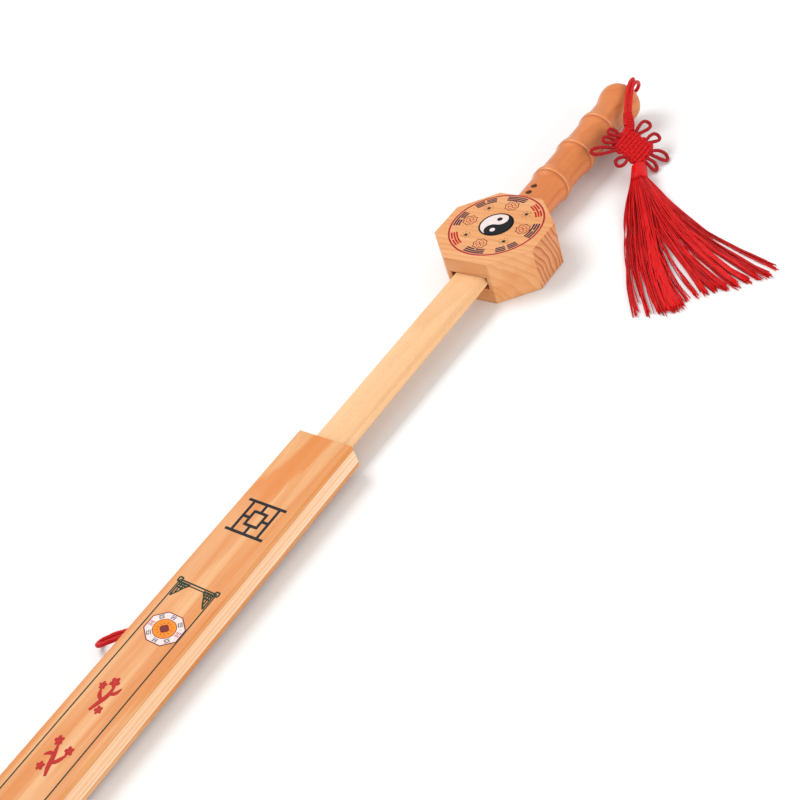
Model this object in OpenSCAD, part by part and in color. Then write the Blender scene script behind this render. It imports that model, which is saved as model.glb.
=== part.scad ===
// Wooden display sword with an octagonal guard, partly drawn from its scabbard.
// X runs along the sword towards the end of the handle, and Z is up from the printed faces' backs.
// The origin is the centre of the guard's underside.

/* [Guard] */
// Length of the guard block along the sword
guard_l = 80; // [74:1:90]
// Width of the guard block across the sword
guard_w = 85; // [78:1:95]
// Thickness of the guard block
guard_t = 35; // [30:1:40]
// Leg of each corner cut that makes the block an octagon
guard_cut = 24; // [18:1:27]

/* [Blade] */
// Width of the blade at its edges
blade_w = 30; // [27:1:32]
// Thickness of the blade at its flats
blade_t = 10; // [8:0.5:11]
// Width of the blade's flats, between the bevels
flat_w = 22; // [18:1:24]
// Length of the blade from the guard to its point
blade_l = 545; // [450:5:545]
// Length over which the blade narrows to its point
point_l = 55; // [30:5:90]
// How far the blade is drawn out of the scabbard at rest
drawn = 176; // [120:1:180]

/* [Scabbard] */
// Length of the scabbard
scabbard_l = 556; // [556:1:620]
// Width of the scabbard
scabbard_w = 45; // [43:1:50]
// Thickness of the front board and of the back board
board_t = 3; // [2:0.5:3]
// Thickness of the side rails, which is the height of the blade's channel
rail_t = 12; // [12:0.5:14]
// Width of each side rail
rail_w = 7; // [6:0.5:7]
// Length of the block that closes the scabbard's far end
end_block_l = 8; // [5:1:8]

/* [Handle] */
// Length of the handle from the guard to its end
handle_l = 162; // [158:1:175]
// Radius of the handle between its carved nodes
grip_r = 14; // [13.5:0.5:15]
// How far each carved node stands out
node_h = 1.9; // [1:0.1:2.6]
// Radius of the flared end, no more than half the guard's thickness
end_r = 17.5; // [16.5:0.25:17.5]
// Radius of the cord hole in the end face
cord_hole_r = 3.6; // [3.4:0.1:5]

/* [Cords] */
// Diameter of the tassel's cord
cord_d = 3; // [2.5:0.1:3]
// Diameter of the hanging loop's cord
loop_d = 3; // [2.6:0.1:3.2]

/* [Hidden] */

// smoothness of the round parts
$fn = 48;
// half thickness of a saw cut, used where one solid is cut clean through another
over = 1;
// clearance of a glued wood joint, each side
glue_gap = 0.1;
// room round the blade's root in the guard, and past the end of the tang
root_gap = 0.5;

mid_z = guard_t / 2;
guard_front_x = -guard_l / 2;
guard_back_x = guard_l / 2;

// the blade's full section goes this far into the guard, and the tang goes on from there
root_l = 20;
tang_w = 16;
tang_t = 7;
tang_l = 32;
tang_end_x = guard_back_x + tang_l;

peg_r = 2.5;
peg_x = [guard_back_x + 10, guard_back_x + 18];
// the pegs stop short of the handle's surface
peg_half_l = grip_r - 1;

mouth_x = guard_front_x - drawn;
tip_x = mouth_x - scabbard_l;
front_z = mid_z + rail_t / 2;
back_z = mid_z - rail_t / 2;
edge_round = 0.8;

end_x = guard_back_x + handle_l;
cord_hole_l = 24;
node_x = [39, 77, 114];
node_half_w = 5.5;
crease_d = 0.9;
crease_half_w = 1.1;
flare_l = 28;
end_round = 9;
profile_step = 1;
// angle between the points of the end's rounding
round_step = 15;

// screw eye in the scabbard's left rail
eye_x = -380;
eye_z = 14.5;
eye_ring_r = 3.4;
eye_wire_r = 0.9;
// distance from the rail to the ring of the eye
eye_gap = 0.4;
eye_y = scabbard_w / 2 + eye_ring_r + eye_wire_r + eye_gap;
eye_shank_l = 6;

// the doubled cord leaves its hole as two strands, one above the other
strand_z = cord_d / 2 + 0.1;
// the tassel swings about this point of the cord, just past the handle's end face
pivot_x = end_x + 3;
core_gap = 2;

// route of the upper strand: out of the hole, over the end's rim and across to the knot
upper_route = [
    [205, 0, 19.1], [208.4, -0.4, 20.6], [210.6, -2.4, 23.6], [210.6, -5, 27.8], [207.8, -7.2, 31.8],
    [202.6, -8.8, 34.2], [194.5, -10.8, 34.9], [185.4, -13.8, 33.9], [176.4, -17.4, 32.2],
    [167.4, -21.2, 30.2], [159, -25, 27.8], [152.4, -28.2, 26]
];
// the lower strand keeps beside it
lower_route = [
    [205, 0, 15.9], [209, -2, 16.2], [211.8, -5.8, 18.8], [211.6, -9, 23.8], [208, -10.8, 29],
    [202.4, -11.8, 32.2], [195.2, -13.5, 33.5], [186.6, -16.6, 32.9], [177.6, -20.2, 31.3],
    [168.6, -24, 29.2], [160.2, -27.8, 26.8], [153.4, -31, 24.8]
];
// route of the hanging loop: out from its knot, round the far end, back and through the eye
loop_route = [
    [-375, 32.6, 8.2], [-377, 34.7, 7.2], [-379, 37.3, 6.4], [-381.2, 40.3, 5.9], [-383.9, 43.8, 5.7],
    [-387.1, 47, 5.7], [-390.7, 49.5, 5.8], [-393.5, 50.8, 6.2], [-396.4, 50.6, 7.4], [-398.5, 49.1, 9],
    [-399.4, 46.6, 10.6], [-398.7, 43.8, 11.8], [-396.7, 41.4, 12.4], [-393, 37.8, 12.8],
    [-389.3, 33.9, 13.3], [-386.3, 30.7, 13.9], [-383.2, 28.2, 14.4], [-380, 27.2, 14.5],
    [-377.2, 27.3, 14], [-375, 28, 12.6], [-373.6, 29.1, 11], [-373.1, 30.1, 9.5]
];

loop_knot = [-373.5, 31.4, 8.4];
loop_knot_r = 3.2;

// the lattice knot leans on the handle: the two ends of its long diagonal, and its roll about it
knot_top = [151, -30, 25];
knot_low = [124, -51, 9];
knot_roll = -29;
knot_side = 27;
knot_t = 8;
// places of the loops that stand out of the lattice, along and across its diagonal
ears = [[-14, 12], [-4, 20], [7, 19], [15, 10], [-12, -14], [3, -22], [14, -12]];
ear_r = 4.4;

head_start = [124, -51, 8.4];
head_end = [104, -61, 7.4];
head_r = 6.8;
binding_r = 7.2;
binding_l = 4;
fringe_t = 7;
// outline of the spread fringe as it lies: along one side, round the tips, back along the other side
fringe_outline = [
    [106, -55], [72, -65], [24, -91], [-24, -125], [-20, -140], [-7, -155], [12, -169],
    [30, -182], [50, -192], [72, -135], [93, -94], [106, -69]
];

function unit(v) = v / norm(v);
function along(p, i) = unit(p[min(i + 1, len(p) - 1)] - p[max(i - 1, 0)]);
function ring(p, i, r, n, ref) =
    let (t = along(p, i), a = unit(cross(t, ref)), b = cross(t, a))
    [for (k = [0:n - 1]) p[i] + r * (cos(360 * k / n) * a + sin(360 * k / n) * b)];
// a smooth curve through the route's points, in a few steps between each two
function eased(p, i, s) =
    let (a = p[max(i - 1, 0)], b = p[i], c = p[i + 1], d = p[min(i + 2, len(p) - 1)])
    0.5 * (2 * b + (c - a) * s + (2 * a - 5 * b + 4 * c - d) * s ^ 2 + (3 * b - a - 3 * c + d) * s ^ 3);
function smooth(p, steps) = concat(
    [for (i = [0:len(p) - 2]) for (k = [0:steps - 1]) eased(p, i, k / steps)], [p[len(p) - 1]]);

// a closed round tube along a route; ref is a direction that the route never takes
module tube(route, r, ref, n = 8) {
    rings = len(route);
    points = [for (i = [0:rings - 1]) each ring(route, i, r, n, ref)];
    sides = [for (i = [0:rings - 2]) for (k = [0:n - 1])
        [i * n + k, i * n + (k + 1) % n, (i + 1) * n + (k + 1) % n, (i + 1) * n + k]];
    first = [for (k = [0:n - 1]) n - 1 - k];
    last = [for (k = [0:n - 1]) (rings - 1) * n + k];
    polyhedron(points, concat([first], sides, [last]));
}

// puts a shape drawn along +X onto the line from one point to another
module aim(from, to) {
    d = to - from;
    translate(from)
        rotate([0, -asin(d[2] / norm(d)), atan2(d[1], d[0])])
            children();
}

module bar_x(x0, x1, w, t, y = 0, z = mid_z) {
    translate([x0, y - w / 2, z - t / 2])
        cube([x1 - x0, w, t]);
}

// the blade's six-sided section, drawn in Y and Z
module blade_section(grow = 0) {
    polygon([
        [-blade_w / 2 - grow, 0], [-flat_w / 2 - grow, -blade_t / 2 - grow],
        [flat_w / 2 + grow, -blade_t / 2 - grow], [blade_w / 2 + grow, 0],
        [flat_w / 2 + grow, blade_t / 2 + grow], [-flat_w / 2 - grow, blade_t / 2 + grow]
    ]);
}

module run_x(x0, x1) {
    translate([x0, 0, mid_z])
        rotate([90, 0, 90])
            linear_extrude(x1 - x0)
                children();
}

module octagon() {
    x = guard_l / 2;
    y = guard_w / 2;
    polygon([
        [-x, guard_cut - y], [guard_cut - x, -y], [x - guard_cut, -y], [x, guard_cut - y],
        [x, y - guard_cut], [x - guard_cut, y], [guard_cut - x, y], [-x, y - guard_cut]
    ]);
}

module guard() {
    color("sandybrown")
        difference() {
            linear_extrude(guard_t)
                octagon();
            run_x(guard_front_x - over, guard_front_x + root_l + glue_gap)
                square([blade_w + 2 * root_gap, blade_t + 2 * root_gap], center = true);
            bar_x(guard_front_x, guard_back_x + over, tang_w + 2 * glue_gap, tang_t + 2 * glue_gap);
        }
}

module blade() {
    color("burlywood")
        difference() {
            union() {
                intersection() {
                    run_x(guard_front_x - blade_l, guard_front_x + root_l)
                        blade_section();
                    linear_extrude(guard_t)
                        polygon([
                            [guard_front_x - blade_l, 0],
                            [guard_front_x - blade_l + point_l, -blade_w / 2],
                            [guard_front_x + root_l, -blade_w / 2],
                            [guard_front_x + root_l, blade_w / 2],
                            [guard_front_x - blade_l + point_l, blade_w / 2]
                        ]);
                }
                bar_x(guard_front_x, tang_end_x, tang_w, tang_t);
            }
            pegs(glue_gap / 2, over);
        }
}

function bump(s, at, half_w) = exp(-((s - at) / half_w) ^ 2);
function flare(s) = let (k = max(0, min(1, (s - handle_l + flare_l) / (flare_l - end_round)))) k * k * (3 - 2 * k);
function grip(s) = grip_r + node_h * (bump(s, node_x[0], node_half_w) + bump(s, node_x[1], node_half_w)
    + bump(s, node_x[2], node_half_w))
    - crease_d * (bump(s, node_x[0], crease_half_w) + bump(s, node_x[1], crease_half_w)
    + bump(s, node_x[2], crease_half_w)) + (end_r - grip_r) * flare(s);

module handle() {
    straight = handle_l - end_round;
    side = [for (s = [0:profile_step:straight]) [grip(s), s]];
    turn = [for (a = [round_step:round_step:90]) [end_r - end_round * (1 - cos(a)), straight + end_round * sin(a)]];
    color("peru")
        difference() {
            translate([guard_back_x, 0, mid_z])
                rotate([0, 90, 0])
                    rotate_extrude()
                        polygon(concat([[0, 0]], side, turn, [[0, handle_l]]));
            bar_x(guard_back_x - over, tang_end_x + root_gap, tang_w + 2 * glue_gap, tang_t + 2 * glue_gap);
            pegs(glue_gap / 2, grip_r);
            translate([end_x - cord_hole_l, 0, mid_z])
                rotate([0, 90, 0])
                    cylinder(h = cord_hole_l + over, r = cord_hole_r);
        }
}

module pegs(grow = 0, longer = 0) {
    for (x = peg_x)
        translate([x, 0, mid_z])
            cylinder(h = 2 * (peg_half_l + longer), r = peg_r + grow, center = true);
}

module tang_pegs() {
    color("saddlebrown")
        pegs();
}

// a board the size of the scabbard, with its outer long edges eased; side is 1 for the front, -1 for the back
module board(side) {
    half = scabbard_w / 2;
    translate([0, 0, side * rail_t / 2])
        run_x(tip_x, mouth_x)
            polygon([
                [-half, 0], [half, 0], [half, side * (board_t - edge_round)],
                [half - edge_round, side * board_t], [edge_round - half, side * board_t],
                [-half, side * (board_t - edge_round)]
            ]);
}

module scabbard_front_board() {
    color("sandybrown")
        board(1);
}

module scabbard_back_board() {
    color("tan")
        board(-1);
}

module rail(side) {
    bar_x(tip_x, mouth_x, rail_w, rail_t, side * (scabbard_w - rail_w) / 2);
}

module scabbard_left_rail() {
    color("burlywood")
        difference() {
            rail(1);
            translate([eye_x, scabbard_w / 2 + over, eye_z])
                rotate([90, 0, 0])
                    cylinder(h = eye_shank_l + over, r = eye_wire_r + glue_gap / 2);
        }
}

module scabbard_right_rail() {
    color("burlywood")
        rail(-1);
}

module scabbard_end_block() {
    color("burlywood")
        bar_x(tip_x, tip_x + end_block_l, scabbard_w - 2 * rail_w, rail_t);
}

module hanger_eye() {
    color("darkgoldenrod") {
        translate([eye_x, eye_y, eye_z])
            rotate([0, 90, 0])
                rotate_extrude()
                    translate([eye_ring_r, 0])
                        circle(r = eye_wire_r);
        translate([eye_x, eye_y - eye_ring_r, eye_z])
            rotate([90, 0, 0])
                cylinder(h = eye_y - eye_ring_r - scabbard_w / 2 + eye_shank_l, r = eye_wire_r);
    }
}

module hanger_cord() {
    color("firebrick")
        tube(smooth(loop_route, 2), loop_d / 2, [0.2, 0.3, 1]);
}

module hanger_knot() {
    color("firebrick")
        translate(loop_knot)
            sphere(r = loop_knot_r, $fn = 24);
}

// the glued cord inside the end of the handle, as far as it stays still
module tassel_cord_core() {
    color("crimson")
        for (side = [-1, 1])
            translate([end_x - cord_hole_l, 0, mid_z + side * strand_z])
                rotate([0, 90, 0])
                    cylinder(h = pivot_x - core_gap - end_x + cord_hole_l, r = cord_d / 2);
}

module tassel_strand_upper() {
    color("crimson")
        tube(smooth(upper_route, 2), cord_d / 2, [0.2, -1, -0.8]);
}

module tassel_strand_lower() {
    color("crimson")
        tube(smooth(lower_route, 2), cord_d / 2, [0.2, -1, -0.8]);
}

module tassel_knot() {
    color("red")
        aim(knot_top, knot_low)
            rotate([knot_roll, 0, 0])
                translate([norm(knot_low - knot_top) / 2, 0, 0]) {
                    rotate([0, 0, 45])
                        cube([knot_side, knot_side, knot_t], center = true);
                    for (e = ears)
                        translate([e[0], e[1], 0])
                            rotate_extrude($fn = 20)
                                translate([ear_r, 0])
                                    circle(r = cord_d / 2, $fn = 13);
                }
}

module tassel_head() {
    color("red")
        aim(head_start, head_end)
            rotate([0, 90, 0])
                cylinder(h = norm(head_end - head_start) - binding_l, r = head_r);
}

module tassel_binding() {
    color("darkred")
        aim(head_end, head_start)
            rotate([0, 90, 0])
                cylinder(h = binding_l, r = binding_r);
}

module tassel_fringe() {
    color("crimson")
        linear_extrude(fringe_t)
            polygon(fringe_outline);
}

guard();
blade();
handle();
tang_pegs();
scabbard_front_board();
scabbard_back_board();
scabbard_left_rail();
scabbard_right_rail();
scabbard_end_block();
hanger_eye();
hanger_cord();
hanger_knot();
tassel_cord_core();
tassel_strand_upper();
tassel_strand_lower();
tassel_knot();
tassel_head();
tassel_binding();
tassel_fringe();
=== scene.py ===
import math
import random

import bpy
from mathutils import Matrix, Vector


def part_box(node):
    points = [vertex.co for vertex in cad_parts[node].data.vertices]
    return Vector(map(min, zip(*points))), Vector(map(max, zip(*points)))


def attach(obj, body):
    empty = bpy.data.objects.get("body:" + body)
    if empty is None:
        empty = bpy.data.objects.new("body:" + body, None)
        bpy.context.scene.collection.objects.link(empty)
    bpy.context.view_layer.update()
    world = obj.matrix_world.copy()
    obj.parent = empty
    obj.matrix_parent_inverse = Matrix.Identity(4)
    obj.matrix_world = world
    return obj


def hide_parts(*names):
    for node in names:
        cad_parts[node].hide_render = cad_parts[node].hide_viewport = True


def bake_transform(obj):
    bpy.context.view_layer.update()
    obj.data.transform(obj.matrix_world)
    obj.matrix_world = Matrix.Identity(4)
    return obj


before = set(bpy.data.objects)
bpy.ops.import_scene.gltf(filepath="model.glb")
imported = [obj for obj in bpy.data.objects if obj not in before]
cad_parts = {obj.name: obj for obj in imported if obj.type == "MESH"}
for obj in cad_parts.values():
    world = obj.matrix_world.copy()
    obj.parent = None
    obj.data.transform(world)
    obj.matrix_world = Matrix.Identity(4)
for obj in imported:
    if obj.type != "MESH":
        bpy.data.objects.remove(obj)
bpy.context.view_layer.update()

MM = 0.001


# ---------------------------------------------------------------- small helpers
def mm(*p):
    return Vector(p) * MM


def clamp(x, lo=0.0, hi=1.0):
    return max(lo, min(hi, x))


def ease(x):
    x = clamp(x)
    return x * x * (3 - 2 * x)


def node(nt, kind, props=None, **inputs):
    made = nt.nodes.new("ShaderNode" + kind)
    for key, value in (props or {}).items():
        setattr(made, key, value)
    for key, value in inputs.items():
        name = key.replace("_", " ")
        sockets = [s for s in made.inputs if s.name == name or s.identifier == key]
        socket = next((s for s in sockets if s.enabled), sockets[0])
        if isinstance(value, bpy.types.NodeSocket):
            nt.links.new(value, socket)
        else:
            socket.default_value = value
    return made


def math_node(nt, op, a, b=None, c=None):
    made = nt.nodes.new("ShaderNodeMath")
    made.operation = op
    for i, value in enumerate((a, b, c)):
        if value is None:
            continue
        if isinstance(value, bpy.types.NodeSocket):
            nt.links.new(value, made.inputs[i])
        else:
            made.inputs[i].default_value = value
    return made.outputs[0]


def times(nt, a, b):
    return math_node(nt, "MULTIPLY", a, b)


def plus(nt, a, b):
    return math_node(nt, "ADD", a, b)


def minus(nt, a, b):
    return math_node(nt, "SUBTRACT", a, b)


def times_plus(nt, a, b, c):
    return math_node(nt, "MULTIPLY_ADD", a, b, c)


def size_of(nt, a):
    return math_node(nt, "ABSOLUTE", a)


def soft_step(nt, value, low, high):
    """0 at low and 1 at high, smooth in between."""
    return node(nt, "MapRange", {"interpolation_type": "SMOOTHSTEP"}, Value=value,
                From_Min=low, From_Max=high).outputs[0]


def texture_coords(nt, kind="Object"):
    return nt.nodes.new("ShaderNodeTexCoord").outputs[kind]


def split_xyz(nt, vector):
    return node(nt, "SeparateXYZ", None, Vector=vector).outputs


def mix_rgb(nt, factor, a, b, blend="MIX"):
    made = nt.nodes.new("ShaderNodeMix")
    made.data_type = "RGBA"
    made.blend_type = blend
    for socket, value in ((made.inputs[0], factor), (made.inputs[6], a), (made.inputs[7], b)):
        if isinstance(value, bpy.types.NodeSocket):
            nt.links.new(value, socket)
        else:
            socket.default_value = value if not isinstance(value, tuple) or len(value) == 4 else (*value, 1)
    return made.outputs[2]


def ramp(nt, factor, stops, smooth=False):
    made = nt.nodes.new("ShaderNodeValToRGB")
    band = made.color_ramp
    if smooth:
        band.interpolation = "EASE"
    while len(band.elements) < len(stops):
        band.elements.new(0.5)
    for element, (position, colour) in zip(band.elements, stops):
        element.position = position
        element.color = (*colour, 1) if not isinstance(colour, (int, float)) else (colour, colour, colour, 1)
    nt.links.new(factor, made.inputs[0])
    return made.outputs[0]


def new_material(name):
    mat = bpy.data.materials.new(name)
    mat.use_nodes = True
    nt = mat.node_tree
    nt.nodes.clear()
    out = nt.nodes.new("ShaderNodeOutputMaterial")
    bsdf = nt.nodes.new("ShaderNodeBsdfPrincipled")
    nt.links.new(bsdf.outputs[0], out.inputs[0])
    return mat, nt, bsdf


def bump(nt, bsdf, height, strength, distance):
    made = node(nt, "Bump", None, Strength=strength, Distance=distance, Height=height)
    nt.links.new(made.outputs[0], bsdf.inputs["Normal"])


def scaled(nt, vector, scale, offset=(0, 0, 0), rotation=(0, 0, 0)):
    made = nt.nodes.new("ShaderNodeMapping")
    made.inputs["Scale"].default_value = scale
    made.inputs["Location"].default_value = offset
    made.inputs["Rotation"].default_value = rotation
    nt.links.new(vector, made.inputs["Vector"])
    return made.outputs[0]


def noise(nt, vector, scale=1.0, detail=2.0, rough=0.5, distort=0.0, out="Fac"):
    made = nt.nodes.new("ShaderNodeTexNoise")
    made.inputs["Scale"].default_value = scale
    made.inputs["Detail"].default_value = detail
    made.inputs["Roughness"].default_value = rough
    made.inputs["Distortion"].default_value = distort
    nt.links.new(vector, made.inputs["Vector"])
    return made.outputs[out]


# ---------------------------------------------------------------- wood
def wood(name, along, pith, spacing, colours, tilt=(0.0, 0.0), warp=6.0, warp_scale=9.0, streak=0.5,
         ring_strength=1.0, fibre=0.35, rough=0.46, coat=0.08, seed=0.0, speckle=0.0, patch=None,
         end_dark=0.0, streak_scale=(3.2, 62, 62)):
    """A block of timber cut from a log: rings round a pith line that drift along the grain, fibres and pores.
    along is the grain's axis, 0, 1 or 2; pith is where the pith line passes, in mm, on the other two axes."""
    mat, nt, bsdf = new_material(name)
    coords = texture_coords(nt)
    # everything below is in millimetres, with the grain's axis first
    split = split_xyz(nt, coords)
    axes = [along] + [a for a in range(3) if a != along]
    parts = [times(nt, split[a], 1000.0) for a in axes]
    merged = node(nt, "CombineXYZ", None, X=parts[0], Y=parts[1], Z=parts[2]).outputs[0]
    shifted = scaled(nt, merged, (1, 1, 1), (seed, seed * 0.37, seed * 0.61))
    # slow drift of the rings along the length
    across = 0.001 * warp_scale * 3
    drift_vector = scaled(nt, shifted, (0.001 * warp_scale * 0.55, across, across))
    moved = split_xyz(nt, noise(nt, drift_vector, 1.0, 2.5, 0.45, out="Color"))
    offset_v = times(nt, minus(nt, moved[0], 0.5), warp * 2)
    offset_w = times(nt, minus(nt, moved[1], 0.5), warp * 2)
    v = plus(nt, minus(nt, parts[1], pith[0]), offset_v)
    w = plus(nt, minus(nt, parts[2], pith[1]), offset_w)
    v = times_plus(nt, parts[0], tilt[0], v)
    w = times_plus(nt, parts[0], tilt[1], w)
    radius = math_node(nt, "SQRT", plus(nt, times(nt, v, v), times(nt, w, w)))
    # years of different widths
    outwards = node(nt, "CombineXYZ", None, X=radius).outputs[0]
    uneven = noise(nt, scaled(nt, outwards, (0.9 / spacing, 1, 1), (seed, 3, 7)), 0.45, 1.0)
    years = times_plus(nt, uneven, 1.6, math_node(nt, "DIVIDE", radius, spacing))
    year = math_node(nt, "FRACT", years)
    late = ramp(nt, year, [(0.0, 0.0), (0.45, 0.12), (0.78, 0.55), (0.92, 1.0), (1.0, 0.05)])
    # fibres: fine lines along the grain
    fine = noise(nt, scaled(nt, shifted, (0.035, 2.6, 2.6)), 1.0, 3.0, 0.6)
    finer = noise(nt, scaled(nt, shifted, (0.12, 7.5, 7.5)), 1.0, 2.0, 0.6)
    # broad streaks of darker, resinous wood
    broad = noise(nt, scaled(nt, shifted, tuple(0.001 * s for s in streak_scale)), 1.0, 3.0, 0.55, 0.4)
    broad = ramp(nt, broad, [(0.36, 0.0), (0.66, 1.0)], True)
    light, mid, dark, deep = colours
    colour = mix_rgb(nt, times(nt, broad, streak), light, mid)
    colour = mix_rgb(nt, times(nt, late, ring_strength), colour, dark)
    shade = ramp(nt, fine, [(0.3, 1.0 - fibre * 0.55), (0.7, 1.0)])
    colour = mix_rgb(nt, 1.0, colour, shade, "MULTIPLY")
    shade = ramp(nt, finer, [(0.32, 1.0 - fibre * 0.4), (0.62, 1.0)])
    colour = mix_rgb(nt, 1.0, colour, shade, "MULTIPLY")
    if speckle:
        dots = noise(nt, scaled(nt, shifted, (0.35, 3.4, 3.4)), 1.0, 1.0, 0.5)
        dots = ramp(nt, dots, [(0.60, 0.0), (0.68, 1.0)])
        colour = mix_rgb(nt, times(nt, dots, speckle), colour, deep)
    if patch:
        colour = patch(nt, coords, colour)
    if end_dark:
        # end grain drinks the finish and goes darker
        normal = split_xyz(nt, nt.nodes.new("ShaderNodeNewGeometry").outputs["True Normal"])
        facing = size_of(nt, normal[along])
        end = ramp(nt, facing, [(0.76, 0.0), (0.95, 1.0)])
        lines = times(nt, end, times_plus(nt, late, 0.85, 0.15))
        colour = mix_rgb(nt, times(nt, lines, end_dark), colour, deep)
    nt.links.new(colour, bsdf.inputs["Base Color"])
    gloss = times_plus(nt, fine, 0.16, rough - 0.08)
    nt.links.new(times_plus(nt, late, -0.05, gloss), bsdf.inputs["Roughness"])
    bsdf.inputs["Coat Weight"].default_value = coat
    bsdf.inputs["Coat Roughness"].default_value = 0.28
    bsdf.inputs["Specular IOR Level"].default_value = 0.22
    height = plus(nt, times(nt, late, 0.5), plus(nt, times(nt, fine, 0.8), times(nt, finer, 0.5)))
    bump(nt, bsdf, height, 0.35, 0.00012)
    return mat


def mouth_patch(nt, coords, colour):
    """A darker resin patch that starts at the scabbard's mouth and runs out to one edge."""
    wobble = noise(nt, scaled(nt, coords, (28, 210, 210)), 1.0, 3.0, 0.6)
    split = split_xyz(nt, coords)
    x = times(nt, plus(nt, split[0], -MOUTH_X), -1000.0)
    y = times_plus(nt, minus(nt, wobble, 0.5), 9.0, times(nt, split[1], 1000.0))
    low = times_plus(nt, x, 0.13, -7.5)
    high = times_plus(nt, x, 0.28, 7.5)
    above = soft_step(nt, minus(nt, y, low), -0.8, 1.6)
    below = soft_step(nt, minus(nt, high, y), -1.0, 4.0)
    mask = times(nt, times(nt, above, below), soft_step(nt, x, 78.0, 48.0))
    return mix_rgb(nt, times(nt, mask, 0.85), colour, (0.58, 0.185, 0.034))


def node_highlight_and_shade(nt, coords, colour):
    """A painted highlight line round each carved node of the handle, with painted shade just beside it."""
    wobble = noise(nt, scaled(nt, coords, (60, 60, 60)), 1.0, 2.0, 0.5)
    x = times(nt, plus(nt, split_xyz(nt, coords)[0], -GRIP_X), 1000.0)
    x = times_plus(nt, minus(nt, wobble, 0.5), 1.6, x)
    for at in NODE_RUN:
        away = minus(nt, x, at)
        # painted shade just beside the node
        shade = soft_step(nt, size_of(nt, plus(nt, away, 1.7)), 3.4, 0.4)
        colour = mix_rgb(nt, times(nt, shade, 0.55), colour, (0.36, 0.085, 0.022))
        # painted highlight along the node's ridge
        line = soft_step(nt, size_of(nt, away), 0.95, 0.35)
        colour = mix_rgb(nt, times(nt, line, 0.55), colour, (0.84, 0.40, 0.18))
    return colour


def glue_seam(nt, coords, colour):
    """The brown line of glue where a rail meets the two boards."""
    wobble = noise(nt, scaled(nt, coords, (40, 300, 300)), 1.0, 2.0, 0.5)
    z = times(nt, plus(nt, split_xyz(nt, coords)[2], -RAIL_Z), 1000.0)
    away = times_plus(nt, wobble, -0.5, minus(nt, RAIL_HALF, size_of(nt, z)))
    line = soft_step(nt, away, 0.5, -0.1)
    return mix_rgb(nt, times(nt, line, 0.75), colour, (0.30, 0.10, 0.03))


# ---------------------------------------------------------------- ink, cord, silk and metal
def ink(name, colour, cover):
    """Printed ink that lets a little of the grain through and breaks up over the pores."""
    mat, nt, bsdf = new_material(name)
    coords = texture_coords(nt)
    grain = noise(nt, scaled(nt, coords, (300, 2600, 2600)), 1.0, 2.0, 0.6)
    blot = noise(nt, scaled(nt, coords, (900, 900, 900)), 1.0, 2.0, 0.6)
    deep, pale = tuple(c * 0.8 for c in colour), tuple(min(1, c * 1.15 + 0.006) for c in colour)
    tone = ramp(nt, grain, [(0.3, deep), (0.7, pale)])
    nt.links.new(tone, bsdf.inputs["Base Color"])
    holes = plus(nt, times(nt, grain, 0.6), times(nt, blot, 0.4))
    nt.links.new(ramp(nt, holes, [(0.30, cover - 0.25), (0.42, cover)]), bsdf.inputs["Alpha"])
    nt.links.new(times_plus(nt, blot, 0.2, 0.35), bsdf.inputs["Roughness"])
    bsdf.inputs["Specular IOR Level"].default_value = 0.12
    bump(nt, bsdf, blot, 0.25, 0.00004)
    return mat


CORD_RIBS = 8.0


def cord_material(name, light, dark):
    """Braided rayon cord: two sets of ribs crossing, read from the tube's own run and turn coordinates."""
    mat, nt, bsdf = new_material(name)
    run, turn = split_xyz(nt, texture_coords(nt, "UV"))[:2]
    turns = times(nt, turn, CORD_RIBS * math.pi)
    runs = times(nt, run, math.pi)
    one = size_of(nt, math_node(nt, "SINE", plus(nt, turns, runs)))
    two = size_of(nt, math_node(nt, "SINE", minus(nt, turns, runs)))
    weave = math_node(nt, "MAXIMUM", times(nt, one, one), times(nt, two, two))
    coords = texture_coords(nt)
    patchy = noise(nt, scaled(nt, coords, (260, 260, 260)), 1.0, 3.0, 0.6)
    hair = noise(nt, scaled(nt, coords, (2600, 2600, 2600)), 1.0, 2.0, 0.6)
    # the grooves between the ribs take the dark tone and the crests the light one: painted shade in the braid's
    # grooves
    colour = ramp(nt, weave, [(0.25, dark), (0.8, light)])
    colour = mix_rgb(nt, times(nt, patchy, 0.45), colour, dark)
    colour = mix_rgb(nt, 1.0, colour, ramp(nt, hair, [(0.3, 0.8), (0.65, 1.0)]), "MULTIPLY")
    nt.links.new(colour, bsdf.inputs["Base Color"])
    nt.links.new(times_plus(nt, hair, 0.2, 0.4), bsdf.inputs["Roughness"])
    bsdf.inputs["Sheen Weight"].default_value = 0.05
    bsdf.inputs["Sheen Roughness"].default_value = 0.4
    bsdf.inputs["Sheen Tint"].default_value = (1.0, 0.25, 0.25, 1)
    bsdf.inputs["Specular IOR Level"].default_value = 0.18
    bump(nt, bsdf, plus(nt, weave, times(nt, hair, 0.25)), 0.8, 0.00022)
    return mat


def silk_material(name, light, dark):
    """Rayon floss: each thread carries its own tone, in the attribute thread_tone."""
    mat, nt, bsdf = new_material(name)
    tone = node(nt, "Attribute", {"attribute_name": "thread_tone"})
    run, turn = split_xyz(nt, texture_coords(nt, "UV"))[:2]
    ply = size_of(nt, math_node(nt, "SINE", times_plus(nt, turn, 6.2832, times(nt, run, 2.4))))
    middle = tuple((a + b) / 2 for a, b in zip(light, dark))
    colour = ramp(nt, tone.outputs["Fac"], [(0.0, dark), (0.35, middle), (0.8, light)])
    # darker between the plies: painted shade in the grooves of the twist
    colour = mix_rgb(nt, 1.0, colour, ramp(nt, ply, [(0.0, 0.72), (0.5, 1.0)]), "MULTIPLY")
    nt.links.new(colour, bsdf.inputs["Base Color"])
    nt.links.new(times_plus(nt, ply, -0.1, 0.42), bsdf.inputs["Roughness"])
    bsdf.inputs["Sheen Weight"].default_value = 0.04
    bsdf.inputs["Sheen Roughness"].default_value = 0.35
    bsdf.inputs["Sheen Tint"].default_value = (1.0, 0.25, 0.25, 1)
    bsdf.inputs["Specular IOR Level"].default_value = 0.2
    bump(nt, bsdf, ply, 0.5, 0.00008)
    return mat


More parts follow.
